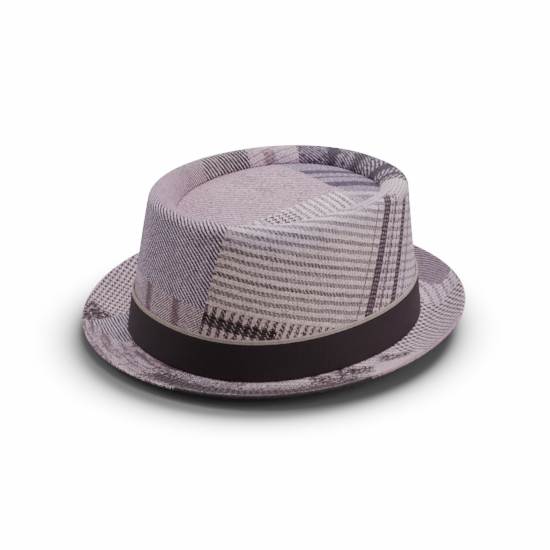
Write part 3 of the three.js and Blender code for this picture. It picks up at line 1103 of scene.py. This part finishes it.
def grosgrain_group():
    """Upright ribs, each a rounded float of fine threads, with smooth selvedges at both borders. A
    painted sheen lightens the colour on each rib's rounded top, by a random amount for each
    thread, but not at the join.
    """
    tree, given, out = start_group(
        "Grosgrain",
        {
            "Place": ("Vector", None),
            "Rib": ("Float", 0.9),
            "Thread": ("Float", 0.28),
            "Low": ("Float", 0.0),
            "High": ("Float", 1.0),
            "Join": ("Float", 0.5),
            "Color": ("Color", None),
            "Painted sheen": ("Color", None),
        },
        {"Color": "Color", "Height": "Float", "Roughness": "Float"},
    )
    part = split(tree, given["Place"])
    rib = calc(tree, "DIVIDE", part[0], given["Rib"])
    rib_part = calc(tree, "FRACT", rib)
    arch = calc(tree, "SINE", calc(tree, "MULTIPLY", rib_part, math.pi))
    odd = calc(tree, "FLOORED_MODULO", calc(tree, "FLOOR", rib), 2.0)
    thread_place = calc(tree, "DIVIDE", part[1], given["Thread"])
    thread = calc(tree, "ADD", thread_place, calc(tree, "MULTIPLY", odd, 0.5))
    thread_part = calc(tree, "FRACT", thread)
    fine = calc(tree, "SINE", calc(tree, "MULTIPLY", thread_part, math.pi))
    lot = draw_lot(tree, combine(tree, X=calc(tree, "FLOOR", rib), Y=calc(tree, "FLOOR", thread)))
    below = calc(tree, "SUBTRACT", part[1], given["Low"])
    above = calc(tree, "SUBTRACT", given["High"], part[1])
    near = calc(tree, "MINIMUM", below, above)
    selvedge_mm = 0.5
    ribs_full_mm = 1.1
    fade = {"Value": near, "From Min": selvedge_mm, "From Max": ribs_full_mm}
    inside = add_node(tree, "ShaderNodeMapRange", fade).outputs[0]
    relief = calc(tree, "MULTIPLY", calc(tree, "MULTIPLY_ADD", fine, 0.3, arch), inside)
    # Painted sheen: the colour goes towards the painted sheen colour on each rib's rounded top, by a
    # random amount for each thread.
    light = calc(tree, "MULTIPLY", calc(tree, "MULTIPLY_ADD", lot, 0.5, 0.1), arch)
    light = calc(tree, "MULTIPLY", light, calc(tree, "GREATER_THAN", part[0], given["Join"]))
    colour = mix_colours(tree, light, given["Color"], given["Painted sheen"])
    tree.links.new(colour, out["Color"])
    tree.links.new(relief, out["Height"])
    tree.links.new(calc(tree, "MULTIPLY_ADD", lot, 0.2, 0.55), out["Roughness"])
    return tree


ribbon_material, ribbon_tree, ribbon_shader = start_material("Ribbon")
ribbon_place = add_node(ribbon_tree, "ShaderNodeUVMap", uv_map="cloth").outputs[0]
ribbon_made = use_group(
    ribbon_tree,
    grosgrain_group(),
    {
        "Place": ribbon_place,
        "Rib": float(band_arc_mm[-1] / ribs_around),
        "Low": ribbon_low * 1000,
        "High": ribbon_top * 1000,
        "Color": ribbon_colour,
        "Painted sheen": ribbon_painted_sheen,
    },
)
ribbon_tree.links.new(ribbon_made["Color"], ribbon_shader.inputs["Base Color"])
ribbon_tree.links.new(ribbon_made["Roughness"], ribbon_shader.inputs["Roughness"])
add_relief(ribbon_tree, ribbon_shader, ribbon_made["Height"], 0.6, 0.00015)
ribbon_shader.inputs["Specular IOR Level"].default_value = 0.25
ribbon_shader.inputs["Sheen Weight"].default_value = 0.04
ribbon_shader.inputs["Sheen Tint"].default_value = (0.9, 0.75, 0.85, 1)
hatband.data.materials.append(ribbon_material)
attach(hatband, "root")
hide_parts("hatband")


# Hatband trim
# Two thin cords plied from pale yarn, laid side by side round the crown just above the upper
# selvedge of the ribbon, and stitched down to the crown.
trim_height = 0.0029
trim_thick = 0.0014
trim_low = ribbon_top + band_clear
cord_low = 0.27
cord_apart = 0.46
cord_radius = trim_height / 4 * 1.15
cord_sides = 24
cord_pale_and_top_highlight = (0.56, 0.44, 0.41, 1)
cord_dark_and_groove_shade = (0.2, 0.14, 0.12, 1)
cord_turn = np.linspace(0, 2 * math.pi, cord_sides + 1)[:-1]
trim_parts = []
for number in range(2):
    middle = trim_low + trim_height * (cord_low + cord_apart * number)
    levels = middle + cord_radius * np.sin(cord_turn)
    outs = band_clear + trim_thick / 2 + trim_thick / 2 * np.cos(cord_turn)
    cord_grid = band_rows(band_angles, levels, outs)
    cord_along = np.broadcast_to(band_arc_mm, cord_grid.shape[:2])
    cord_about = np.broadcast_to(cord_turn[:, None] * cord_radius * 1000, cord_grid.shape[:2])
    cord_map = np.stack([cord_along, cord_about], -1)
    cord = ring_piece("Hatband_cord_" + "ab"[number], cord_grid[:, :-1], cloth=closed(cord_map))
    trim_parts.append(cord)


def twist_group():
    """Plied cord: slanting strands with a random lightness each, a painted highlight on their rounded
    tops and painted shade in their grooves.
    """
    tree, given, out = start_group(
        "Cord twist",
        {
            "Place": ("Vector", None),
            "Pitch": ("Float", 0.75),
            "Light": ("Color", None),
            "Dark": ("Color", None),
        },
        {"Color": "Color", "Height": "Float"},
    )
    part = split(tree, given["Place"])
    strand = calc(tree, "DIVIDE", calc(tree, "ADD", part[0], part[1]), given["Pitch"])
    arch = calc(tree, "SINE", calc(tree, "MULTIPLY", calc(tree, "FRACT", strand), math.pi))
    number = calc(tree, "FLOOR", strand)
    lot = add_node(tree, "ShaderNodeTexWhiteNoise", {"W": number}, noise_dimensions="1D").outputs["Value"]
    fuzz = noise(tree, given["Place"], 2.5, 2.0)["Fac"]
    loose_light = calc(tree, "ADD", lot, fuzz)
    # Painted light: half of the mix follows the strand's round, light on its top and dark in its grooves;
    # the rest is a random lightness for each strand.
    share = calc(tree, "MULTIPLY_ADD", loose_light, 0.35, calc(tree, "MULTIPLY", arch, 0.5))
    tree.links.new(mix_colours(tree, share, given["Dark"], given["Light"]), out["Color"])
    tree.links.new(arch, out["Height"])
    return tree


trim_material, trim_tree, trim_shader = start_material("Edging")
trim_place = add_node(trim_tree, "ShaderNodeUVMap", uv_map="cloth").outputs[0]
trim_made = use_group(
    trim_tree,
    twist_group(),
    {"Place": trim_place, "Light": cord_pale_and_top_highlight, "Dark": cord_dark_and_groove_shade},
)
trim_tree.links.new(trim_made["Color"], trim_shader.inputs["Base Color"])
add_relief(trim_tree, trim_shader, trim_made["Height"], 0.6, 0.0002)
trim_shader.inputs["Roughness"].default_value = 0.75
trim_shader.inputs["Specular IOR Level"].default_value = 0.25
for cord in trim_parts:
    cord.data.materials.append(trim_material)
    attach(cord, "root")
    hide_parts("hatband_trim")


# Floor, lights and air
# A dark grey sheet under three soft lamps that glows white for the camera alone. The glow is left
# out of an oval round the brim, moved towards the front and the wearer's left, so that a painted
# shadow rings the hat over the real shade on the sheet. The air is white too, and brighter for the
# camera, so that the background comes out white.
floor_mesh = bpy.data.meshes.new("Floor")
reach = 4.0
floor_mesh.from_pydata(
    [(-reach, -reach, 0), (reach, -reach, 0), (reach, reach, 0), (-reach, reach, 0)], [], [(0, 1, 2, 3)]
)
floor = bpy.data.objects.new("Floor", floor_mesh)
bpy.context.collection.objects.link(floor)
floor_material, floor_tree, floor_shader = start_material("Floor_glow_with_painted_shadow")
floor_shader.inputs["Base Color"].default_value = (0.2, 0.2, 0.2, 1)
floor_shader.inputs["Roughness"].default_value = 0.9
floor_shader.inputs["Specular IOR Level"].default_value = 0.1
# Painted shadow: the glow is left out of an oval the size of the brim, moved towards the front and the
# wearer's left.
brim_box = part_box("brim")
painted_shadow_reach = (brim_box[1][0] - brim_box[0][0], brim_box[1][1] - brim_box[0][1])
painted_shadow_middle = (0.006, -0.013, 0)
floor_place = add_node(floor_tree, "ShaderNodeTexCoord").outputs["Object"]
floor_moved = vector_calc(floor_tree, "SUBTRACT", floor_place, painted_shadow_middle)
floor_share = vector_calc(floor_tree, "DIVIDE", floor_moved, (painted_shadow_reach[0] / 2, painted_shadow_reach[1] / 2, 1))
floor_length = add_node(floor_tree, "ShaderNodeVectorMath", {0: floor_share}, operation="LENGTH")
floor_away = floor_length.outputs["Value"]
glow_past_painted_shadow = add_node(
    floor_tree,
    "ShaderNodeMapRange",
    {"Value": floor_away, 1: 0.93, 2: 1.25, 3: 0.0, 4: 1.0},
    interpolation_type="SMOOTHSTEP",
).outputs[0]
floor_seen = add_node(floor_tree, "ShaderNodeLightPath").outputs["Is Camera Ray"]
floor_strength = 15.0
floor_glow_amount = calc(floor_tree, "MULTIPLY", calc(floor_tree, "POWER", glow_past_painted_shadow, 1.6), floor_strength)
floor_shown = calc(floor_tree, "MULTIPLY", floor_glow_amount, floor_seen)
floor_tree.links.new(floor_shown, floor_shader.inputs["Emission Strength"])
floor_shader.inputs["Emission Color"].default_value = (1, 1, 1, 1)
floor.data.materials.append(floor_material)

world = bpy.data.worlds.new("Studio")
bpy.context.scene.world = world
world.use_nodes = True
world.node_tree.nodes["Background"].inputs["Color"].default_value = (1, 1, 1, 1)
air_seen = add_node(world.node_tree, "ShaderNodeLightPath").outputs["Is Camera Ray"]
air_light = 0.55
air_more = 14.45
air_strength = calc(world.node_tree, "MULTIPLY_ADD", air_seen, air_more, air_light)
world.node_tree.links.new(air_strength, world.node_tree.nodes["Background"].inputs["Strength"])


def soft_light(name, place, target, size, power):
    """Square area light at a place, turned to face its target."""
    data = bpy.data.lights.new(name, "AREA")
    data.size = size
    data.energy = power
    lamp = bpy.data.objects.new(name, data)
    bpy.context.collection.objects.link(lamp)
    back = np.array(place) - np.array(target)
    back = back / np.linalg.norm(back)
    side = np.cross([0.0, 1.0, 0.0], back)
    side = side / np.linalg.norm(side)
    turn = np.eye(4)
    turn[:3, 0] = side
    turn[:3, 1] = np.cross(back, side)
    turn[:3, 2] = back
    turn[:3, 3] = place
    lamp.matrix_world = mathutils.Matrix(turn.tolist())
    return lamp


soft_light("Top_light", (-0.15, 0.55, 1.3), (0, 0, 0.05), 1.0, 22)
soft_light("Left_light", (-1.3, -0.5, 0.7), (0, 0, 0.05), 0.8, 9)
soft_light("Right_light", (1.2, 0.7, 0.7), (0, 0, 0.05), 0.8, 9)

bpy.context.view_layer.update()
